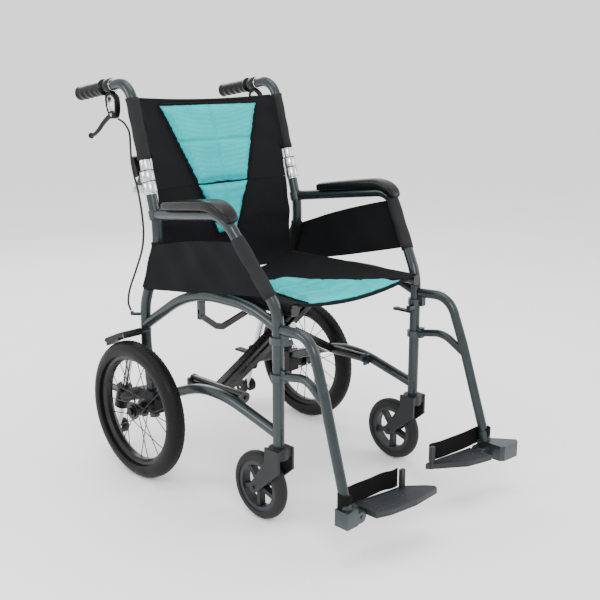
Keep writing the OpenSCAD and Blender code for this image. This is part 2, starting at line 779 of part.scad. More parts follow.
// Upholstery
module seat() {
    edge = foot_x - rail_r - 3;
    top = rail_z + 7;
    color("#1c1c1e") difference() {
        cross_plate(rail_front_y + 4, 392) polygon([
            [-edge, top], [-edge / 2, top - 0.75 * seat_sag], [0, top - seat_sag], [edge / 2, top - 0.75 * seat_sag],
            [edge, top], [edge, top - seat_t], [edge / 2, top - 0.75 * seat_sag - seat_t],
            [0, top - seat_sag - seat_t], [-edge / 2, top - 0.75 * seat_sag - seat_t], [-edge, top - seat_t]
        ]);
        brace_bar(bar_a_y, bar_t + 2, bar_h + 2);
        brace_bar(stay_y, stay_t + 2, bar_h);
        mirror([1, 0, 0]) brace_bar(bar_b_y, bar_t + 2, bar_h + 2);
    }
}
module back_panel(line, width) {
    translate([-width / 2, 0, 0]) rotate([90, 0, 90]) linear_extrude(width) polygon(concat(
        line, [for (i = [len(line) - 1 : -1 : 0]) line[i] + [back_t, -4]]
    ));
}
module back_upper() {
    color("#26272a") back_panel([[209, 692], [215, 712], [262, 895]], 2 * (half_w - 20));
}
module back_lower() {
    color("#26272a") back_panel([[196, 505], [194, 600], [208, 686]], 2 * (half_w - 20));
}

on_right() side_tube();  // side_tube_r
side_tube();  // side_tube_l
on_right() rear_post();  // rear_post_r
rear_post();  // rear_post_l
on_right() side_arches();  // side_arches_r
side_arches();  // side_arches_l
on_right() arm_pad();  // arm_pad_r
arm_pad();  // arm_pad_l
on_right() skirt_guard(0);  // skirt_guard_r
skirt_guard(24);  // skirt_guard_l
on_right() axle_block();  // axle_block_r
axle_block();  // axle_block_l
on_right() tyre();  // tyre_r
tyre();  // tyre_l
on_right() rim();  // rim_r
rim();  // rim_l
on_right() hub();  // hub_r
hub();  // hub_l
on_right() castor_fork();  // castor_fork_r
castor_fork();  // castor_fork_l
on_right() castor_hub();  // castor_hub_r
castor_hub();  // castor_hub_l
on_right() castor_tyre();  // castor_tyre_r
castor_tyre();  // castor_tyre_l
on_right() cane();  // cane_r
cane();  // cane_l
on_right() cane_joint();  // cane_joint_r
cane_joint();  // cane_joint_l
on_right() cane_latch();  // cane_latch_r
cane_latch();  // cane_latch_l
on_right() grip();  // grip_r
grip();  // grip_l
on_right() brake_housing();  // brake_housing_r
brake_housing();  // brake_housing_l
on_right() brake_lever();  // brake_lever_r
brake_lever();  // brake_lever_l
on_right() brake_cable();  // brake_cable_r
brake_cable();  // brake_cable_l
on_right() brake_arm();  // brake_arm_r
brake_arm();  // brake_arm_l
on_right() hanger(block_out_r);  // hanger_r
hanger(block_out_l);  // hanger_l
on_right() release_lever();  // release_lever_r
release_lever();  // release_lever_l
on_right() footplate(plate_out_r, blade_at_r);  // footplate_r
footplate(plate_out_l, blade_at_l);  // footplate_l
on_right() heel_strap(blade_at_r);  // heel_strap_r
heel_strap(blade_at_l);  // heel_strap_l
on_right() anti_tip_tube();  // anti_tip_tube_r
anti_tip_tube();  // anti_tip_tube_l
on_right() anti_tip_wheels();  // anti_tip_wheels_r
anti_tip_wheels();  // anti_tip_wheels_l
on_right() link();  // link_r
link();  // link_l
brace_a();
brace_b();
brace_bolt();
seat();
back_upper();
back_lower();
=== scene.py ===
import math

import bmesh
import bpy
from mathutils import Matrix, Vector


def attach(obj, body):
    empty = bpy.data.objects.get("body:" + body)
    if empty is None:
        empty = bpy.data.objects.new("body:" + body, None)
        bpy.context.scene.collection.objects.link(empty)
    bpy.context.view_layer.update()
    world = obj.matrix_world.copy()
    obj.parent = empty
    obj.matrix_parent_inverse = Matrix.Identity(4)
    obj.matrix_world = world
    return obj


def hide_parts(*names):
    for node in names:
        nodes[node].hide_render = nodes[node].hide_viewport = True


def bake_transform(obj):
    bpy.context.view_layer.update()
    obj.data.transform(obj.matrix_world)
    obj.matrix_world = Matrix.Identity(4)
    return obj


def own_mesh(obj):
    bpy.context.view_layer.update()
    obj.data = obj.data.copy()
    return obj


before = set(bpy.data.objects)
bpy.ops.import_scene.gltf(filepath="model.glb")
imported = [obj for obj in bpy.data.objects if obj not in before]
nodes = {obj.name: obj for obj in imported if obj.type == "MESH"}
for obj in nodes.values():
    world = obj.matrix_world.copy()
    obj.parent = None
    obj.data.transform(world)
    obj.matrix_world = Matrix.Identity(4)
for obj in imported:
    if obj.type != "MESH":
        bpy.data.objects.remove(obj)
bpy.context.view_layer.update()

MM = 0.001
scene = bpy.context.scene
SIDES = {"r": -1, "l": 1}


# ---------------------------------------------------------------- camera and lights
def make_camera():
    target = Vector((0, -0.055, 0.45))
    azimuth, elevation, distance = math.radians(-45.27), math.radians(13.85), 2.1456
    data = bpy.data.cameras.new("camera")
    data.lens, data.sensor_width = 54.82, 36
    data.shift_x, data.shift_y = -0.00185, -0.0103
    camera = bpy.data.objects.new("camera", data)
    scene.collection.objects.link(camera)
    camera.location = target + distance * Vector((
        math.sin(azimuth) * math.cos(elevation),
        -math.cos(azimuth) * math.cos(elevation),
        math.sin(elevation),
    ))
    camera.rotation_euler = (target - camera.location).to_track_quat("-Z", "Y").to_euler()
    scene.camera = camera


def make_light(name, kind, place, aim, energy, size, color=(1, 1, 1)):
    data = bpy.data.lights.new(name, kind)
    data.energy, data.color = energy, color
    if kind == "AREA":
        data.shape, data.size = "DISK", size
    light = bpy.data.objects.new(name, data)
    scene.collection.objects.link(light)
    light.location = place
    light.rotation_euler = (Vector(aim) - Vector(place)).to_track_quat("-Z", "Y").to_euler()


make_camera()
make_light("key", "AREA", (-1.7, -2.3, 2.3), (0, 0, 0.45), 46, 1.4)
make_light("fill", "AREA", (2.6, -1.9, 1.6), (0, 0, 0.45), 22, 1.8)
make_light("left_rim", "AREA", (-2.4, 1.2, 1.5), (0, 0, 0.5), 26, 1.2)
make_light("back", "AREA", (0.8, 2.6, 1.9), (0, 0, 0.5), 26, 1.6)
make_light("top", "AREA", (0, 0, 3.2), (0, 0, 0), 40, 2.4)


# ---------------------------------------------------------------- materials
def new_material(name):
    mat = bpy.data.materials.new(name)
    mat.use_nodes = True
    tree = mat.node_tree
    return mat, tree, tree.nodes["Principled BSDF"]


def node(tree, kind, **values):
    made = tree.nodes.new(kind)
    for key, value in values.items():
        if key in made.inputs:
            made.inputs[key].default_value = value
        else:
            setattr(made, key, value)
    return made


def coords(tree, scale=(1, 1, 1)):
    tex = node(tree, "ShaderNodeTexCoord")
    mapping = node(tree, "ShaderNodeMapping")
    mapping.inputs["Scale"].default_value = scale
    tree.links.new(tex.outputs["Object"], mapping.inputs["Vector"])
    return mapping.outputs["Vector"]


def noise(tree, vector, scale, detail=3.0, rough=0.5):
    made = node(tree, "ShaderNodeTexNoise")
    made.inputs["Scale"].default_value = scale
    made.inputs["Detail"].default_value = detail
    made.inputs["Roughness"].default_value = rough
    tree.links.new(vector, made.inputs["Vector"])
    return made.outputs["Fac"]


def tint(color, k):
    return (min(1, color[0] * k), min(1, color[1] * k), min(1, color[2] * k), 1)


def mix_colors(tree, fac, a, b):
    ramp = node(tree, "ShaderNodeValToRGB")
    ramp.color_ramp.elements[0].color = a
    ramp.color_ramp.elements[1].color = b
    ramp.color_ramp.elements[0].position = 0.3
    ramp.color_ramp.elements[1].position = 0.7
    tree.links.new(fac, ramp.inputs["Fac"])
    return ramp.outputs["Color"]


def span(tree, fac, low, high, source=(0.3, 0.7)):
    made = node(tree, "ShaderNodeMapRange")
    made.inputs["From Min"].default_value = source[0]
    made.inputs["From Max"].default_value = source[1]
    made.inputs["To Min"].default_value = low
    made.inputs["To Max"].default_value = high
    tree.links.new(fac, made.inputs["Value"])
    return made.outputs["Result"]


def math_node(tree, operation, a, b=None):
    made = node(tree, "ShaderNodeMath")
    made.operation = operation
    for slot, value in zip(made.inputs, (a, b)):
        if isinstance(value, (int, float)):
            slot.default_value = value
        elif value is not None:
            tree.links.new(value, slot)
    return made.outputs["Value"]


def bump(tree, bsdf, height, strength, distance):
    made = node(tree, "ShaderNodeBump")
    made.inputs["Strength"].default_value = strength
    made.inputs["Distance"].default_value = distance
    tree.links.new(height, made.inputs["Height"])
    tree.links.new(made.outputs["Normal"], bsdf.inputs["Normal"])


def hard_finish(name, color, rough, metallic=0.0, coat=0.0, vary=0.15, grain=700, depth=0.12,
                specular=0.5, stretch=(1, 1, 1), wear=None):
    """Paint, metal, plastic or rubber: mottled colour, uneven gloss and a fine surface grain."""
    mat, tree, bsdf = new_material(name)
    broad = noise(tree, coords(tree), 34, 5)
    fine = noise(tree, coords(tree, stretch), grain, 2)
    color_out = mix_colors(tree, broad, tint(color, 1 - vary), tint(color, 1 + vary))
    if wear:
        geometry = node(tree, "ShaderNodeNewGeometry")
        edge = span(tree, geometry.outputs["Pointiness"], 0, 0.5, (0.52, 0.62))
        blend = node(tree, "ShaderNodeMixRGB")
        blend.inputs["Color2"].default_value = (*wear, 1)
        tree.links.new(edge, blend.inputs["Fac"])
        tree.links.new(color_out, blend.inputs["Color1"])
        color_out = blend.outputs["Color"]
    tree.links.new(color_out, bsdf.inputs["Base Color"])
    tree.links.new(span(tree, broad, rough * 0.85, rough * 1.2), bsdf.inputs["Roughness"])
    bsdf.inputs["Metallic"].default_value = metallic
    bsdf.inputs["Coat Weight"].default_value = coat
    bsdf.inputs["Coat Roughness"].default_value = 0.12
    bsdf.inputs["Specular IOR Level"].default_value = specular
    bump(tree, bsdf, fine, depth, 0.0002)
    return mat


def woven(name, color, thread=0.0009, axes=(0, 2), rough=0.85, sheen=0.25, depth=0.5, vary=0.2):
    """Plain-woven cloth: two crossing sets of threads, with slow changes of colour and gloss."""
    mat, tree, bsdf = new_material(name)
    split = node(tree, "ShaderNodeSeparateXYZ")
    tree.links.new(coords(tree), split.inputs["Vector"])
    turns = 2 * math.pi / (2 * thread)
    waves = [
        math_node(tree, "SINE", math_node(tree, "MULTIPLY", split.outputs[axis], turns)) for axis in axes
    ]
    weave = math_node(tree, "MULTIPLY", waves[0], waves[1])
    broad = noise(tree, coords(tree), 22, 6, 0.6)
    fuzz = noise(tree, coords(tree), 1500, 2)
    height = math_node(tree, "ADD", math_node(tree, "MULTIPLY", weave, 0.5),
                       math_node(tree, "MULTIPLY", fuzz, 0.6))
    slub = math_node(tree, "ADD", math_node(tree, "MULTIPLY", broad, 0.75),
                     math_node(tree, "MULTIPLY", span(tree, weave, 0, 1, (-1, 1)), 0.25))
    shade = mix_colors(tree, slub, tint(color, 1 - vary), tint(color, 1 + vary))
    tree.links.new(shade, bsdf.inputs["Base Color"])
    tree.links.new(span(tree, broad, rough * 0.92, min(1, rough * 1.08)), bsdf.inputs["Roughness"])
    bsdf.inputs["Sheen Weight"].default_value = sheen
    bsdf.inputs["Sheen Roughness"].default_value = 0.5
    bsdf.inputs["Specular IOR Level"].default_value = 0.1
    bump(tree, bsdf, height, depth, 0.0004)
    return mat


def spacer_mesh(name, color, hole_painted_shade, cell=0.0032, sheen=0.15):
    """Knitted spacer mesh: rows of small holes in a bright cloth, the holes coloured a darker turquoise as
    painted shade inside them.
    """
    mat, tree, bsdf = new_material(name)
    cells = node(tree, "ShaderNodeTexVoronoi")
    cells.inputs["Scale"].default_value = 1 / cell
    cells.inputs["Randomness"].default_value = 0.25
    tree.links.new(coords(tree, (1, 1, 1)), cells.inputs["Vector"])
    hole_depth_and_shade = span(tree, cells.outputs["Distance"], 0, 1, (0.18, 0.42))
    broad = noise(tree, coords(tree), 18, 5, 0.55)
    cloth = mix_colors(tree, broad, tint(color, 0.88), tint(color, 1.1))
    # painted shade: the holes get a darker copy of the cloth colour for the shade inside them; the same mask
    # also drives the bump
    blend = node(tree, "ShaderNodeMixRGB")
    blend.inputs["Color1"].default_value = (*hole_painted_shade, 1)
    tree.links.new(hole_depth_and_shade, blend.inputs["Fac"])
    tree.links.new(cloth, blend.inputs["Color2"])
    tree.links.new(blend.outputs["Color"], bsdf.inputs["Base Color"])
    tree.links.new(span(tree, broad, 0.62, 0.8), bsdf.inputs["Roughness"])
    bsdf.inputs["Sheen Weight"].default_value = sheen
    bsdf.inputs["Specular IOR Level"].default_value = 0.2
    bump(tree, bsdf, hole_depth_and_shade, 0.3, 0.0005)
    return mat


PAINT = hard_finish("frame_paint", (0.019, 0.027, 0.029), 0.3, 0.45, 0.25, 0.14, 1400, 0.04, 0.35,
                    wear=(0.05, 0.06, 0.062))
GLOSS_BLACK = hard_finish("gloss_black_paint", (0.0035, 0.0035, 0.004), 0.24, 0.0, 0.25, 0.25, 900, 0.04, 0.35)
PAD_BLACK = hard_finish("pad_skin", (0.0026, 0.0026, 0.0029), 0.3, 0.0, 0.03, 0.25, 620, 0.08, 0.2)
PLASTIC = hard_finish("black_plastic", (0.0036, 0.0038, 0.0042), 0.4, 0.0, 0.0, 0.2, 1100, 0.12, 0.2)
SLATE = hard_finish("slate_plastic", (0.0095, 0.0115, 0.013), 0.45, 0.0, 0.0, 0.16, 1200, 0.16, 0.28,
                    wear=(0.03, 0.034, 0.037))
TYRE = hard_finish("tyre_rubber", (0.0034, 0.0034, 0.0037), 0.5, 0.0, 0.0, 0.3, 800, 0.25, 0.18)
CASTOR_RUBBER = hard_finish("castor_rubber", (0.0095, 0.0095, 0.0102), 0.55, 0.0, 0.0, 0.2, 700, 0.2, 0.25)
RIM = hard_finish("rim_black", (0.0038, 0.0038, 0.0042), 0.34, 0.1, 0.08, 0.2, 900, 0.05, 0.35)
STEEL = hard_finish("bright_steel", (0.62, 0.63, 0.65), 0.2, 1.0, 0.0, 0.1, 400, 0.08, stretch=(1, 1, 0.1))
SPOKE = hard_finish("spoke_steel", (0.16, 0.165, 0.17), 0.32, 0.9, 0.0, 0.15, 600, 0.1)
GRIP = hard_finish("grip_rubber", (0.0026, 0.0026, 0.0029), 0.34, 0.0, 0.0, 0.25, 1500, 0.12, 0.18)
JACKET = hard_finish("cable_jacket", (0.0035, 0.0035, 0.004), 0.36, 0.0, 0.0, 0.25, 1500, 0.1, 0.35)
BACK_CLOTH = woven("back_cloth", (0.0072, 0.0074, 0.0082), sheen=0.01)
SEAT_CLOTH = woven("seat_cloth", (0.0052, 0.0053, 0.006), axes=(0, 1), sheen=0.01)
GUARD_CLOTH = woven("guard_cloth", (0.0058, 0.006, 0.0068), axes=(1, 2), sheen=0.01)
SLEEVE_CLOTH = woven("sleeve_cloth", (0.017, 0.0175, 0.0185), axes=(1, 2), sheen=0.01, rough=0.7)
WEBBING = woven("webbing", (0.0045, 0.0045, 0.005), thread=0.0014, axes=(0, 2), depth=0.8, sheen=0.01)
PIPING = woven("piping", (0.012, 0.005, 0.0055), thread=0.0006, axes=(0, 2), sheen=0.02)
# the second colour is painted shade inside the mesh holes
TURQUOISE = spacer_mesh("turquoise_mesh", (0.0, 0.44, 0.455), (0.0, 0.27, 0.29), sheen=0.0)

FINISH = {
    "side_tube": PAINT, "rear_post": PAINT, "side_arches": PAINT, "cane": PAINT, "hanger": PAINT,
    "axle_block": PLASTIC, "tyre": TYRE, "rim": RIM, "hub": RIM, "castor_fork": SLATE,
    "castor_hub": SLATE, "castor_tyre": CASTOR_RUBBER, "cane_joint": STEEL, "cane_latch": PLASTIC,
    "grip": GRIP, "brake_housing": PLASTIC, "brake_lever": PLASTIC, "brake_cable": JACKET,
    "brake_arm": PLASTIC, "release_lever": PLASTIC, "footplate": SLATE, "heel_strap": WEBBING,
    "anti_tip_tube": STEEL, "anti_tip_wheels": CASTOR_RUBBER, "link": GLOSS_BLACK, "arm_pad": PAD_BLACK,
    "skirt_guard": GUARD_CLOTH, "brace_a": GLOSS_BLACK, "brace_b": GLOSS_BLACK, "brace_bolt": STEEL,
    "seat": SEAT_CLOTH, "back_upper": BACK_CLOTH, "back_lower": BACK_CLOTH,
}
for name, obj in nodes.items():
    base = name[:-2] if name[-2:] in ("_r", "_l") else name
    obj.data.materials.clear()
    obj.data.materials.append(FINISH[base])


# ---------------------------------------------------------------- mesh helpers
def v_mm(x, y, z):
    return Vector((x, y, z)) * MM


def make_mesh(name, verts, faces, mat, smooth=True, angle=None):
    mesh = bpy.data.meshes.new(name)
    mesh.from_pydata([tuple(v) for v in verts], [], faces)
    mesh.validate()
    made = bmesh.new()
    made.from_mesh(mesh)
    bmesh.ops.recalc_face_normals(made, faces=made.faces)
    made.to_mesh(mesh)
    made.free()
    obj = bpy.data.objects.new(name, mesh)
    scene.collection.objects.link(obj)
    mesh.materials.append(mat)
    mesh.shade_smooth() if smooth else mesh.shade_flat()
    if angle is not None:
        mesh.set_sharp_from_angle(angle=math.radians(angle))
    return obj


def loft(name, rings, mat, caps=True, closed=False, angle=None):
    """A skin over closed rings of equal length. closed joins the last ring to the first."""
    count, around = len(rings), len(rings[0])
    verts = [p for ring in rings for p in ring]
    faces = []
    for i in range(count if closed else count - 1):
        a, b = i * around, ((i + 1) % count) * around
        for k in range(around):
            n = (k + 1) % around
            faces.append((a + k, b + k, b + n, a + n))
    if caps and not closed:
        faces.append(tuple(range(around))[::-1])
        faces.append(tuple((count - 1) * around + k for k in range(around)))
    return make_mesh(name, verts, faces, mat, angle=angle)


def slab(name, front, back, mat, angle=None):
    """A closed sheet between two grids of points of the same size, front and back."""
    rows, cols = len(front), len(front[0])
    verts = [p for row in front for p in row] + [p for row in back for p in row]
    off = rows * cols
    faces = []
    for i in range(rows - 1):
        for j in range(cols - 1):
            a, b, c, d = i * cols + j, i * cols + j + 1, (i + 1) * cols + j + 1, (i + 1) * cols + j
            faces.append((a, b, c, d))
            faces.append((d + off, c + off, b + off, a + off))
    rim = [(0, j) for j in range(cols)] + [(i, cols - 1) for i in range(1, rows)]
    rim += [(rows - 1, j) for j in range(cols - 2, -1, -1)] + [(i, 0) for i in range(rows - 2, 0, -1)]
    ids = [i * cols + j for i, j in rim]
    for k, a in enumerate(ids):
        b = ids[(k + 1) % len(ids)]
        faces.append((b, a, a + off, b + off))
    return make_mesh(name, verts, faces, mat, angle=angle)


def sheet_grid(rows, cols, place, thick, side):
    """Front and back grids of a cloth: place(u, v) is its middle, side(u, v) its facing."""
    front, back = [], []
    for i in range(rows):
        front.append([])
        back.append([])
        for j in range(cols):
            u, v = j / (cols - 1), i / (rows - 1)
            t = thick(u, v) if callable(thick) else thick
            p, n = place(u, v), side(u, v)
            front[-1].append(p + n * t / 2)
            back[-1].append(p - n * t / 2)
    return front, back


def frames_along(path):
    """Tangent, side and up at each point of a path, carried along without twist."""
    out = []
    up = None
    for i, p in enumerate(path):
        t = (path[min(i + 1, len(path) - 1)] - path[max(i - 1, 0)]).normalized()
        if up is None:
            up = Vector((0, 0, 1)) if abs(t.z) < 0.9 else Vector((1, 0, 0))
        up = (up - t * up.dot(t)).normalized()
        out.append((t, up.cross(t).normalized(), up))
    return out


def sweep(name, path, radius, mat, sides=16, caps=True, angle=None):
    """A round section along a path. radius is a number or a function of (share of length, angle)."""
    rings = []
    for i, (p, (t, s, u)) in enumerate(zip(path, frames_along(path))):
        ring = []
        for k in range(sides):
            a = 2 * math.pi * k / sides
            r = radius(i / (len(path) - 1), a) if callable(radius) else radius
            ring.append(p + s * math.cos(a) * r + u * math.sin(a) * r)
        rings.append(ring)
    return loft(name, rings, mat, caps=caps, angle=angle)


def smooth_path(points, steps=6):
    out = []
    last = len(points) - 1
    for i in range(last):
        a, b, c, d = points[max(i - 1, 0)], points[i], points[i + 1], points[min(i + 2, last)]
        for k in range(steps):
            t = k / steps
            out.append(0.5 * (2 * b + (c - a) * t + (2 * a - 5 * b + 4 * c - d) * t * t
                              + (3 * b - a - 3 * c + d) * t ** 3))
    out.append(points[-1])
    return out


def join(name, parts):
    bpy.ops.object.select_all(action="DESELECT")
    for part in parts:
        part.select_set(True)
    bpy.context.view_layer.objects.active = parts[0]
    bpy.ops.object.join()
    parts[0].name = name
    parts[0].data.name = name
    return parts[0]


def disc(center, axis, radius, height, mat, sides=24, edge=0.15, name="disc"):
    """A short round stud with a chamfered edge, its base at center, rising along axis."""
    axis = axis.normalized()
    s = axis.orthogonal().normalized()
    u = axis.cross(s)
    rings = []
    for share, scale in ((0, 1), (1 - edge, 1), (1, 1 - edge)):
        rings.append([
            center + axis * height * share + (s * math.cos(a) + u * math.sin(a)) * radius * scale
            for a in (2 * math.pi * k / sides for k in range(sides))
        ])
    return loft(name, rings, mat, angle=35)


def bolt_head(name, center, axis, radius, height, mat=None):
    """A socket screw: a round head with a round recess."""
    mat = mat or STEEL
    axis = axis.normalized()
    s = axis.orthogonal().normalized()
    u = axis.cross(s)

    def ring(r, h):
        return [center + axis * h + (s * math.cos(a) + u * math.sin(a)) * r
                for a in (2 * math.pi * k / 24 for k in range(24))]

    rings = [ring(radius, 0), ring(radius, height * 0.7), ring(radius * 0.82, height),
             ring(radius * 0.5, height), ring(radius * 0.46, height * 0.35)]
    return loft(name, rings, mat, angle=30)


def mirrored(points, s):
    return [Vector((p.x * s, p.y, p.z)) for p in points]


def inflate(obj, cap, facing, voxel=0.005, pressure=4.0, backing=0.15):
    """Puffs a closed pad by cloth simulation. No point moves further than cap, and the side away
    from facing keeps nearly to its place, where it lies on its backing."""
    bpy.context.view_layer.objects.active = obj
    remesh = obj.modifiers.new("remesh", "REMESH")
    remesh.mode, remesh.voxel_size = "VOXEL", voxel
    apply_all(obj)
    start = [v.co.copy() for v in obj.data.vertices]
    normals = [v.normal.copy() for v in obj.data.vertices]
    cloth = obj.modifiers.new("cloth", "CLOTH")
    cloth.settings.quality = 5
    cloth.settings.use_pressure = True
    cloth.settings.uniform_pressure_force = pressure
    cloth.settings.effector_weights.gravity = 0
    cloth.settings.tension_stiffness = 8
    cloth.settings.compression_stiffness = 8
    for step in range(1, 21):
        scene.frame_set(step)
    moved = obj.evaluated_get(bpy.context.evaluated_depsgraph_get())
    ends = [v.co.copy() for v in moved.data.vertices]
    obj.modifiers.remove(cloth)
    scene.frame_set(1)
    for v, a, b, n in zip(obj.data.vertices, start, ends, normals):
        step = b - a
        if step.length > cap:
            step = step.normalized() * cap
        if n.dot(facing) < 0:
            step *= backing
        v.co = a + step
    smooth = obj.modifiers.new("smooth", "SMOOTH")
    smooth.factor, smooth.iterations = 0.5, 4
    finer = obj.modifiers.new("finer", "SUBSURF")
    finer.levels = finer.render_levels = 1
    apply_all(obj)
    obj.data.shade_smooth()


def apply_all(obj):
    view = bpy.context.evaluated_depsgraph_get()
    mesh = bpy.data.meshes.new_from_object(obj.evaluated_get(view))
    old = obj.data
    obj.modifiers.clear()
    obj.data = mesh
    mesh.name = old.name
    bpy.data.meshes.remove(old)


def groove(obj, depth, width, direction, distance_to):
    """Presses sewn channels into a pad: depth falls off with the distance to the nearest seam."""
    for v in obj.data.vertices:
        if v.normal.dot(direction) > -0.2:
            continue
        d = distance_to(v.co)
        v.co += direction * depth * math.exp(-(d / width) ** 2)


# ---------------------------------------------------------------- backrest
LEAN = math.atan2(23, 82)
LEAN_UP = Vector((0, math.sin(LEAN), math.cos(LEAN)))
LEAN_BACK = Vector((0, math.cos(LEAN), -math.sin(LEAN)))
BACK_EDGE = 207
BACK_SPLIT = 689


def back_y(z):
    if z >= 702:
        return 207 + (z - 702) * math.tan(LEAN)
    if z >= 600:
        return 190 + (z - 600) * 17 / 102
    return 192 - (z - 505) * 2 / 95


def back_point(x, z, lift=0.0):
    sag = 15 * (1 - (x / BACK_EDGE) ** 2)
    return v_mm(x, back_y(z) + sag - lift, z)


def back_half(z):
    return 32 + 0.395 * (z - 560)


BACK_FACING = Vector((0, -1, 0.2)).normalized()


def back_cloth(name, low, high, body):
    def place(u, v):
        z = low + (high - low) * v
        x = (2 * u - 1) * BACK_EDGE
        dip = 7 * (1 - (x / BACK_EDGE) ** 2) * v if high > 800 else 0
        ripple = 1.2 * math.sin(z * 0.09 + x * 0.02) * (abs(x) / BACK_EDGE) ** 2
        return back_point(x, z - dip, -5 + ripple)
    front, back = sheet_grid(34, 60, place, lambda u, v: 4.6 * MM + 1.4 * MM * (v > 0.97 or v < 0.03),
                             lambda u, v: BACK_FACING)
    obj = slab(name, front, back, BACK_CLOTH, angle=60)
    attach(obj, body)
    return obj


def back_pad(name, low, high, seams, body):
    def place(u, v):
        z = low + (high - low) * v
        half = back_half(z) - 3
        return back_point((2 * u - 1) * half, z, 1.5)
    front, back = sheet_grid(30, 40, place, 7 * MM, lambda u, v: BACK_FACING)
    obj = slab(name, front, back, TURQUOISE)
    inflate(obj, 0.006, BACK_FACING)

    def seam_distance(p):
        return min([abs(p.x)] + [abs(p.z - s * MM) for s in seams])
    groove(obj, 0.0045, 0.0045, -BACK_FACING, seam_distance)
    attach(obj, body)
    return obj


def fold_flat(obj):
    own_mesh(obj)


def piping(name, points, radius, body, mat=None):
    obj = sweep(name, smooth_path(points, 4), radius * MM, mat or PIPING, sides=8)
    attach(obj, body)
    return obj


upper = back_cloth("back_cloth_upper", BACK_SPLIT + 0.3, 895, "cane_r")
lower = back_cloth("back_cloth_lower", 462, BACK_SPLIT - 0.3, "frame_r")
upper_pad = back_pad("back_pad_upper", BACK_SPLIT - 1.8, 882, (793,), "cane_r")
lower_pad = back_pad("back_pad_lower", 562, BACK_SPLIT + 1.8, (590,), "frame_r")


def binding_place(u, v):
    return back_point((2 * u - 1) * (BACK_EDGE - 2), BACK_SPLIT - 11 + 20 * v, -10.5)


# A strip of cloth behind the line where the back bends
front, back = sheet_grid(6, 50, binding_place, 2.4 * MM, lambda u, v: BACK_FACING)
binding = slab("back_binding", front, back, BACK_CLOTH, angle=60)
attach(binding, "frame_r")
for piece in (upper, lower, upper_pad, lower_pad, binding):
    fold_flat(piece)
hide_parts("back_upper")
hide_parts("back_lower")
for tag, low, high, body in (("upper", BACK_SPLIT + 1, 882, "cane_r"),
                             ("lower", 562, BACK_SPLIT - 1, "frame_r")):
    for s, g in SIDES.items():
        line = [back_point(g * back_half(z), z, 2.5) for z in (low + (high - low) * k / 8 for k in range(9))]
        fold_flat(piping(f"back_piping_{tag}_{s}", line, 1.6, body))
top_line = [back_point(-BACK_EDGE + 2 * BACK_EDGE * k / 16, 894 - 7 * (1 - (2 * k / 16 - 1) ** 2), -5)
            for k in range(17)]
fold_flat(piping("back_top_hem", top_line, 4.2, "cane_r", BACK_CLOTH))
pad_top = [back_point(x, 882, 2.5) for x in (-155, -80, 0, 80, 155)]
fold_flat(piping("back_piping_top", pad_top, 1.6, "cane_r"))
pad_low = [back_point(x, 562, 2.5) for x in (-32, 0, 32)]
fold_flat(piping("back_piping_bottom", pad_low, 1.6, "frame_r"))


def cane_point(z, g):
    return v_mm(g * 229, 211 + (z - 702) * math.tan(LEAN), z)


for s, g in SIDES.items():
    # The cloth sleeve round the push-handle tube
    path = [cane_point(760 + 137 * k / 14, g) for k in range(15)]
    sleeve = sweep(f"cane_sleeve_{s}", path,
                   lambda t, a: (15.2 + 0.5 * math.sin(t * 17 + 2 * a) + 0.9 * (t < 0.04 or t > 0.96)) * MM,
                   SLEEVE_CLOTH, sides=28, caps=False)
    thick = sleeve.modifiers.new("thick", "SOLIDIFY")
    thick.thickness = 1.6 * MM
    apply_all(sleeve)
    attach(sleeve, f"cane_{s}")
    # The flat web from the sleeve to the back panel
    def web_place(u, v, g=g):
        z = 760 + 135 * v
        a, b = cane_point(z, g) + LEAN_BACK * -0.009, back_point(g * (BACK_EDGE - 3), z, -5)
        a.x = g * 0.222
        return a.lerp(b, u)
    front, back = sheet_grid(12, 6, web_place, 2.4 * MM, lambda u, v: BACK_FACING)
    web = slab(f"back_web_{s}", front, back, BACK_CLOTH)
    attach(web, f"cane_{s}")
    # Bright tube and clamp under the sleeve
    for tag, low, high, r, body in (("tube", 727, 762, 12.9, "cane"), ("clamp", 709.5, 733, 17.2, "cane"),
                                    ("socket", 682, 706.5, 17.2, "frame")):
        path = [cane_point(low, g), cane_point(low + 1.5, g), cane_point(high - 1.5, g), cane_point(high, g)]
        ring = sweep(f"cane_{tag}_{s}", path, lambda t, a, r=r: (r - (0.8 if t in (0.0, 1.0) else 0)) * MM,
                     STEEL, sides=36, caps=False, angle=40)
        thick = ring.modifiers.new("thick", "SOLIDIFY")
        thick.thickness = 0.9 * MM
        apply_all(ring)
        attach(ring, f"{body}_{s}")


# ---------------------------------------------------------------- seat
def seat_z(x, y):
    side = 1 - (x / 195) ** 2
    deep = 20 + 12 * min(1, max(0, (y + 236) / 180))
    return 492 - deep * max(0, side) + 2 * math.exp(-((y + 232) / 8) ** 2)


def seat_place(u, v):
    """Across the seat, over each rail and down its outer side."""
    y = -231 + 409 * v
    s = (2 * u - 1)
    if abs(s) <= 0.86:
        x = s / 0.86 * 196
        return v_mm(x, y, seat_z(x, y) - 1)
    turn = (abs(s) - 0.86) / 0.14 * math.radians(200)
    r = 12.6
    sign = 1 if s > 0 else -1
    return v_mm(sign * (202 + r * math.sin(turn - 0.35)), y, 480 + r * math.cos(turn - 0.35))


def seat_side(u, v):
    s = (2 * u - 1)
    if abs(s) <= 0.86:
        return Vector((0, 0, 1))
    turn = (abs(s) - 0.86) / 0.14 * math.radians(200) - 0.35
    return Vector((math.copysign(math.sin(turn), s), 0, math.cos(turn)))


front, back = sheet_grid(46, 84, seat_place, 2.4 * MM, seat_side)
seat = slab("seat_cloth", front, back, SEAT_CLOTH, angle=60)


def seat_half(y):
    return 160 - 0.40 * (y + 233)


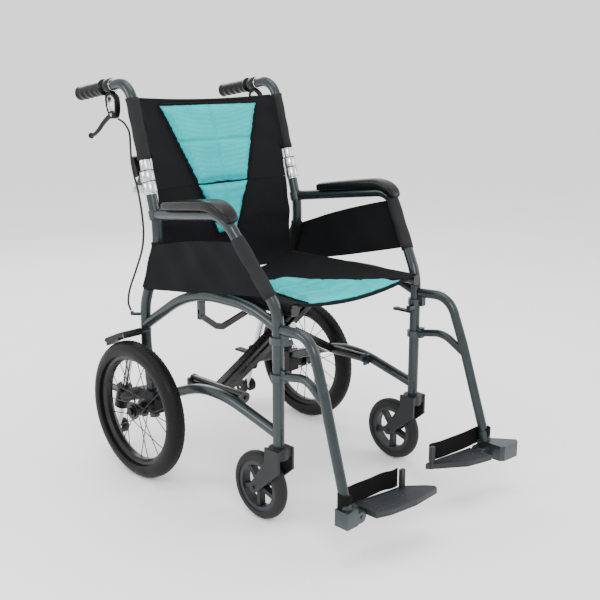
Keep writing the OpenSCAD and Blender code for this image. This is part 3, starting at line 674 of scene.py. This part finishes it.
def seat_pad_place(u, v):
    y = -234 + 290 * v
    x = (2 * u - 1) * (seat_half(y) - 3)
    return v_mm(x, y, seat_z(x, y) + 3.2)


UP = Vector((0, 0, 1))
front, back = sheet_grid(40, 44, seat_pad_place, 6 * MM, lambda u, v: UP)
seat_pad = slab("seat_pad", front, back, TURQUOISE)
inflate(seat_pad, 0.006, UP)


def seat_seam(p):
    x, y = p.x / MM, p.y / MM
    return min(abs(x), abs(y + 150), abs(y + 60)) * MM


groove(seat_pad, 0.004, 0.0045, -UP, seat_seam)


def seat_ride(obj):
    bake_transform(obj)


seat_ride(seat)
seat_ride(seat_pad)
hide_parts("seat")
for s, g in SIDES.items():
    line = [v_mm(g * seat_half(y), y, seat_z(seat_half(y), y) + 2.6) for y in (-234, -180, -120, -60, 0, 56)]
    pipe = sweep(f"seat_piping_{s}", smooth_path(line, 4), 1.6 * MM, PIPING, sides=8)
    seat_ride(pipe)
hem = [v_mm(x, -233, seat_z(x, -233) - 3) for x in range(-190, 191, 20)]
seat_ride(sweep("seat_front_hem", smooth_path(hem, 2), 3.6 * MM, SEAT_CLOTH, sides=10))


# ---------------------------------------------------------------- side cloths
def slant_point(z, g):
    k = (z - 482) / 189
    return v_mm(g * (229 + 40 * k), -215 + 118 * k, z)


def rear_point(z, g):
    y = 188 if z > 566 else 186 + (566 - z) * 60 / 153
    return v_mm(g * 229, y, z)


GUARD = {
    "r": ((-126, 617), (150, 566), (-205, 512), (190, 455)),
    "l": ((-120, 652), (190, 562), (-200, 545), (215, 452)),
}
for s, g in SIDES.items():
    (yf, ztf), (yb, ztb), (ylf, zbf), (ylb, zbb) = GUARD[s]

    def guard_place(u, v, g=g, ztf=ztf, ztb=ztb, zbf=zbf, zbb=zbb):
        z0, z1 = zbf + (ztf - zbf) * v, zbb + (ztb - zbb) * v
        a, b = slant_point(z0, g), rear_point(z1, g)
        p = a.lerp(b, u)
        bow = math.sin(math.pi * u)
        p.x += g * ((0.015 if g > 0 else 0.013) - 0.006 * bow)
        p.z += 0.006 * bow * (1 if v > 0.5 else -0.4) * abs(2 * v - 1)
        p.x += g * (0.0034 * math.sin(11 * u + 4 * v) + 0.002 * math.sin(23 * u - 5 * v)) * bow
        return p
    front, back = sheet_grid(26, 46, guard_place, 2.6 * MM, lambda u, v, g=g: Vector((g, 0, 0)))
    guard = slab(f"skirt_cloth_{s}", front, back, GUARD_CLOTH, angle=60)
    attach(guard, f"frame_{s}")
    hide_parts(f"skirt_guard_{s}")
    low, high = zbf - 4, ztf + 8
    path = [slant_point(low + (high - low) * k / 12, g) for k in range(13)]
    sleeve = sweep(f"skirt_sleeve_{s}", path,
                   lambda t, a: (15.0 + 0.6 * math.sin(t * 13 + 2 * a)) * MM,
                   SLEEVE_CLOTH, sides=28, caps=False)
    thick = sleeve.modifiers.new("thick", "SOLIDIFY")
    thick.thickness = 1.6 * MM
    apply_all(sleeve)
    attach(sleeve, f"frame_{s}")
    path = [rear_point(zbb + 2 + (ztb - zbb + 4) * k / 12, g) for k in range(13)]
    sleeve = sweep(f"rear_sleeve_{s}", path,
                   lambda t, a: (15.2 + 0.7 * math.sin(t * 11 + 2 * a)) * MM, GUARD_CLOTH, sides=28, caps=False)
    thick = sleeve.modifiers.new("thick", "SOLIDIFY")
    thick.thickness = 1.6 * MM
    apply_all(sleeve)
    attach(sleeve, f"frame_{s}")


# ---------------------------------------------------------------- arm pads
def pad_ring(center, tangent, half_w, height, base=0.0, sides=32):
    t = tangent.normalized()
    side = Vector((0, 0, 1)).cross(t).normalized()
    up = t.cross(side)
    ring = []
    for k in range(sides):
        a = 2 * math.pi * k / sides
        c, q = math.cos(a), math.sin(a)
        x = math.copysign(abs(c) ** 0.55, c) * half_w
        z = (math.copysign(abs(q) ** (0.5 if q > 0 else 0.3), q) * 0.5 + 0.5) * height + base
        ring.append(center + side * x + up * z)
    return ring


PAD_HEEL = {"r": 60, "l": 80}
PAD_NOSE = 24
for s, g in SIDES.items():
    a, b = Vector((229, 191, 636)), Vector((269, -97, 671))
    d = (b - a).normalized()
    heel = PAD_HEEL[s]
    line = [a + d * k for k in (heel, heel + 2, heel + 8, 112, 146, 180, 208, 234)]
    nose = (Vector((267.5, -82, 669)), Vector((269, -103, 665.5)), Vector((269, -116, 659)),
            Vector((268.5, -124, 651)), Vector((268.5, -127, 647)))
    line += [p - d * PAD_NOSE for p in nose]
    line = mirrored([p * MM for p in line], g)
    halves = (15, 19.5, 22, 23.5, 24, 24.5, 25, 25, 25, 24.5, 23, 18, 11)
    highs = (12, 17, 20, 21.5, 22.5, 23, 24, 24.5, 25, 24, 20, 14, 8)
    bases = (14, 11.5, 10.5, 10, 10, 10, 9.5, 9, 9, 9.5, 11, 14, 17)
    rings = []
    for i, p in enumerate(line):
        t = line[min(i + 1, len(line) - 1)] - line[max(i - 1, 0)]
        rings.append(pad_ring(p, t, halves[i] * MM, highs[i] * MM, bases[i] * MM))
    pad = loft(f"arm_pad_skin_{s}", rings, PAD_BLACK)
    finer = pad.modifiers.new("finer", "SUBSURF")
    finer.levels = finer.render_levels = 2
    apply_all(pad)
    pad.data.shade_smooth()
    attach(pad, f"frame_{s}")
    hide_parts(f"arm_pad_{s}")


# ---------------------------------------------------------------- hand grips and brake levers
for s, g in SIDES.items():
    corner, end = v_mm(g * 229, 276.6, 936), v_mm(g * 229, 480.8, 905)
    d = (end - corner).normalized()
    root = end - d * 0.1085
    stations = 64
    path = [root + d * 0.1105 * k / stations for k in range(stations + 1)]

    def grip_radius(t, a):
        down = max(0.0, -math.sin(a))
        wave = 1.5 * math.cos(2 * math.pi * (t * 5.2 + 0.1)) if 0.12 < t < 0.9 else 0
        ribs = 0.12 * math.cos(2 * math.pi * t * 26) * (down < 0.5) * (0.2 < t < 0.9)
        flange = 3.4 * math.exp(-((t - 0.02) / 0.03) ** 2)
        tail = 1.2 * math.exp(-((t - 0.96) / 0.05) ** 2)
        close = 7.5 * max(0, (t - 0.975) / 0.025) ** 2
        return (15.6 + down ** 0.5 * (1.3 + wave) + ribs + flange + tail - close) * MM
    grip = sweep(f"grip_rubber_{s}", path, grip_radius, GRIP, sides=48)
    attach(grip, f"cane_{s}")
    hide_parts(f"grip_{s}")

    blade = [v_mm(g * 229, y, z) for y, z in (
        (338, 860), (350, 857), (366, 850), (388, 836), (412, 817), (432, 806), (441, 803))]
    rings = []
    path = smooth_path(blade, 4)
    for i, (p, (t, sd, up)) in enumerate(zip(path, frames_along(path))):
        k = i / (len(path) - 1)
        w, h = 5.2 - 1.0 * k, 6.5 - 3.2 * k
        rings.append([p + sd * math.copysign(abs(math.cos(a)) ** 0.7, math.cos(a)) * w * MM
                      + up * math.copysign(abs(math.sin(a)) ** 0.7, math.sin(a)) * h * MM
                      for a in (2 * math.pi * q / 20 for q in range(20))])
    lever = loft(f"lever_blade_{s}", rings, PLASTIC)
    bpy.ops.mesh.primitive_uv_sphere_add(segments=24, ring_count=14, radius=7.5 * MM,
                                         location=v_mm(g * 229, 443, 804))
    ball = bpy.context.object
    ball.data.materials.append(PLASTIC)
    ball.data.shade_smooth()
    lever = join(f"lever_blade_{s}", [lever, ball])
    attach(lever, f"brake_lever_{s}")
    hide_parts(f"brake_lever_{s}")


# ---------------------------------------------------------------- brake brackets and cables
def lathe(name, center, axis, outline, mat, sides=40, closed=True):
    """A turned ring: outline gives (radius, way along the axis) in millimetres."""
    axis = axis.normalized()
    s = axis.orthogonal().normalized()
    u = axis.cross(s)
    rings = [[center + axis * h * MM + (s * math.cos(a) + u * math.sin(a)) * r * MM
              for a in (2 * math.pi * k / sides for k in range(sides))] for r, h in outline]
    return loft(name, rings, mat, caps=False, closed=closed, angle=40)


def side_loop(name, points, wide, thick, mat, x):
    """A closed band in a side view: points are its middle line, wide is across the chair."""
    line = smooth_path(points + points[:1], 5)[:-1]
    rings = []
    for i, p in enumerate(line):
        t = (line[(i + 1) % len(line)] - line[i - 1]).normalized()
        n = Vector((0, -t.z, t.y))
        ring = []
        for a in (2 * math.pi * q / 16 for q in range(16)):
            across = math.copysign(abs(math.cos(a)) ** 0.45, math.cos(a)) * wide / 2 * MM
            out = math.copysign(abs(math.sin(a)) ** 0.6, math.sin(a)) * thick / 2 * MM
            ring.append(p + Vector((x + across, 0, 0)) + n * out)
        rings.append(ring)
    return loft(name, rings, mat, caps=False, closed=True)


CLAMP_OUTLINE = ((12.9, -10), (16, -10), (17, -8.5), (17, 8.5), (16, 10), (12.9, 10))
BAND_OUTLINE = ((12.9, -13), (14.6, -13), (14.9, -12), (14.6, -10.3), (12.9, -10.3))
BRACKET_OUTLINE = (
    (345, 909), (361, 903), (363, 886), (358, 868), (350, 856), (338, 851), (329, 857), (325, 876), (328, 898),
)
CABLE = (
    (230, 322, 848), (230, 300, 840), (232, 278, 820), (240, 264, 790), (246, 254, 755), (247, 244, 722),
    (249, 232, 700), (250, 222, 670), (249, 216, 630), (249, 214, 590), (250, 222, 550), (252, 246, 500),
    (254, 272, 450), (254, 281, 415), (252, 274, 396),
)
for s, g in SIDES.items():
    corner, end = v_mm(g * 229, 276.6, 936), v_mm(g * 229, 480.8, 905)
    d = (end - corner).normalized()
    clamp = end - d * 0.132
    ring = lathe(f"bracket_clamp_{s}", clamp, d, CLAMP_OUTLINE, PLASTIC)
    band = lathe(f"bracket_band_{s}", clamp, d, BAND_OUTLINE, STEEL)
    loop_points = [v_mm(0, y, z) for y, z in BRACKET_OUTLINE]
    loop = side_loop(f"bracket_loop_{s}", loop_points, 15, 5.5, PLASTIC, g * 0.229)
    inside = [Vector((0, 0.344 + (p.y - 0.344) * 0.74, 0.881 + (p.z - 0.881) * 0.8)) for p in loop_points]
    liner = side_loop(f"bracket_liner_{s}", inside, 12, 1.6, STEEL, g * 0.229)
    heel = disc(v_mm(g * 229 - 8, 340, 858), Vector((1, 0, 0)), 9.5 * MM, 16 * MM, PLASTIC,
                name=f"bracket_heel_{s}")
    screw = bolt_head(f"bracket_screw_{s}", v_mm(g * 237, 340, 858), Vector((g, 0, 0)), 4 * MM, 2.4 * MM)
    bracket = join(f"bracket_body_{s}", [loop, ring, heel])
    for piece, slot in ((bracket, "black_plastic"), (band, "steel"), (liner, "steel"), (screw, "steel")):
        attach(piece, f"cane_{s}")
    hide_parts(f"brake_housing_{s}")

    route = smooth_path([v_mm(g * x, y, z) for x, y, z in CABLE], 6)
    cable = sweep(f"cable_{s}", route, 2.5 * MM, JACKET, sides=14)
    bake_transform(cable)
    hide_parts(f"brake_cable_{s}")


# ---------------------------------------------------------------- heel straps and footplates
def strap_band(name, plan, low, high, thick, mat):
    """An upright band of webbing along a plan line, with its edges rolled a little thicker."""
    line = smooth_path([Vector((x, y, 0)) for x, y in plan], 5)
    turned = frames_along(line)

    def place(u, v):
        i = round(u * (len(line) - 1))
        sag = 0.004 * math.sin(math.pi * max(0, (u - 0.35) / 0.65))
        return line[i] * MM + Vector((0, 0, (low + (high - low) * v) * MM - sag))

    def facing(u, v):
        t = turned[round(u * (len(line) - 1))][0]
        return Vector((t.y, -t.x, 0))
    front, back = sheet_grid(9, len(line), place,
                             lambda u, v: (thick + 0.9 * (abs(v - 0.5) > 0.43)) * MM, facing)
    return slab(name, front, back, mat, angle=60)


STRAP_HOOK = {"r": (79, -418), "l": (74, -391)}
RIBS = {
    "r": [((-118, -2 - 9 * k), (-34, 12 - 9.5 * k)) for k in range(6)],
    "l": [((-134 + 13.5 * k, 24 - 10 * k), (-34, 12 - 9 * k)) for k in range(6)],
}
for s, g in SIDES.items():
    hx, hy = STRAP_HOOK[s]
    tx, ty, r = 242, -417, 14.5
    plan = [(tx + r * math.cos(a), ty + r * math.sin(a)) for a in map(math.radians, (-110, -60, -10, 40, 85))]
    plan += [(226, ty + 18), (190, ty + 20), (150, ty + 18 + (hy + 412) * 0.3), (112, (hy + ty) / 2 + 14)]
    plan += [(hx + 12, hy + 5), (hx - 3, hy + 3)]
    strap = strap_band(f"heel_webbing_{s}", [(g * x, y) for x, y in plan], 109, 149, 2.2, WEBBING)
    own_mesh(strap)
    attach(strap, f"hanger_{s}")
    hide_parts(f"heel_strap_{s}")
    top = 107.6
    ribs = []
    for (x0, y0), (x1, y1) in RIBS[s]:
        a, b = v_mm(g * (218 + x0), -425 + y0, top), v_mm(g * (218 + x1), -425 + y1, top)
        along = (b - a).normalized()
        across = Vector((-along.y, along.x, 0))
        rings = []
        for k in range(9):
            p = a.lerp(b, k / 8)
            w = 1.9 if 0 < k < 8 else 1.1
            rings.append([p + across * c * w * MM + Vector((0, 0, h * MM)) for c, h in
                          ((-1, -0.4), (-0.8, 1.0), (-0.4, 1.5), (0.4, 1.5), (0.8, 1.0), (1, -0.4))])
        ribs.append(loft(f"plate_rib_{s}", rings, SLATE))
    ribs = join(f"plate_ribs_{s}", ribs)
    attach(ribs, f"footplate_{s}")
    pin = join(f"plate_pin_{s}", [
        bolt_head(f"plate_pin_{s}", v_mm(g * 218, -425 + way * 8.5, 98), Vector((0, way, 0)), 5 * MM, 2 * MM)
        for way in (-1, 1)])
    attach(pin, f"footplate_{s}")


# ---------------------------------------------------------------- tyre treads
for s, g in SIDES.items():
    center = v_mm(g * 287, 213, 168)
    verts, faces = [], []
    rows = ((-0.62, 3.4, 0.0), (-0.31, 3.6, 0.5), (0.0, 3.6, 0.0), (0.31, 3.6, 0.5), (0.62, 3.4, 0.0))
    count = 84
    for theta, half, offset in rows:
        for k in range(count):
            mid = 2 * math.pi * (k + offset) / count
            base = len(verts)
            for lift, shrink in ((-0.6, 1.0), (0.9, 0.78)):
                for du, dv in ((-1, -1), (1, -1), (1, 1), (-1, 1)):
                    t = theta + dv * half * shrink / 22 * 0.62
                    m = mid + du * shrink * 0.62 * math.pi / count + dv * 0.012 * (1 if theta > 0 else -1)
                    r = 146 + (22 + lift) * math.cos(t)
                    verts.append(center + v_mm((22 + lift) * math.sin(t), r * math.sin(m), r * math.cos(m)))
            faces += [(base + 4, base + 5, base + 6, base + 7)]
            faces += [(base + i, base + (i + 1) % 4, base + 4 + (i + 1) % 4, base + 4 + i) for i in range(4)]
            faces += [(base + 3, base + 2, base + 1, base)]
    tread = make_mesh(f"tread_{s}", verts, faces, TYRE, smooth=False)
    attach(tread, f"wheel_{s}")


# ---------------------------------------------------------------- floor and world
def make_floor():
    bpy.ops.mesh.primitive_plane_add(size=60, location=(0, 0, -0.0005))
    floor = bpy.context.object
    floor.name = "floor"
    mat, tree, bsdf = new_material("floor_pale")
    pale = noise(tree, coords(tree), 3, 3)
    shade = mix_colors(tree, pale, (0.97, 0.97, 0.97, 1), (0.99, 0.99, 0.99, 1))
    tree.links.new(shade, bsdf.inputs["Base Color"])
    bsdf.inputs["Roughness"].default_value = 0.9
    floor.data.materials.append(mat)


make_floor()
world = bpy.data.worlds.new("studio")
world.use_nodes = True
world.node_tree.nodes["Background"].inputs["Color"].default_value = (1, 1, 1, 1)
world.node_tree.nodes["Background"].inputs["Strength"].default_value = 1.5
scene.world = world
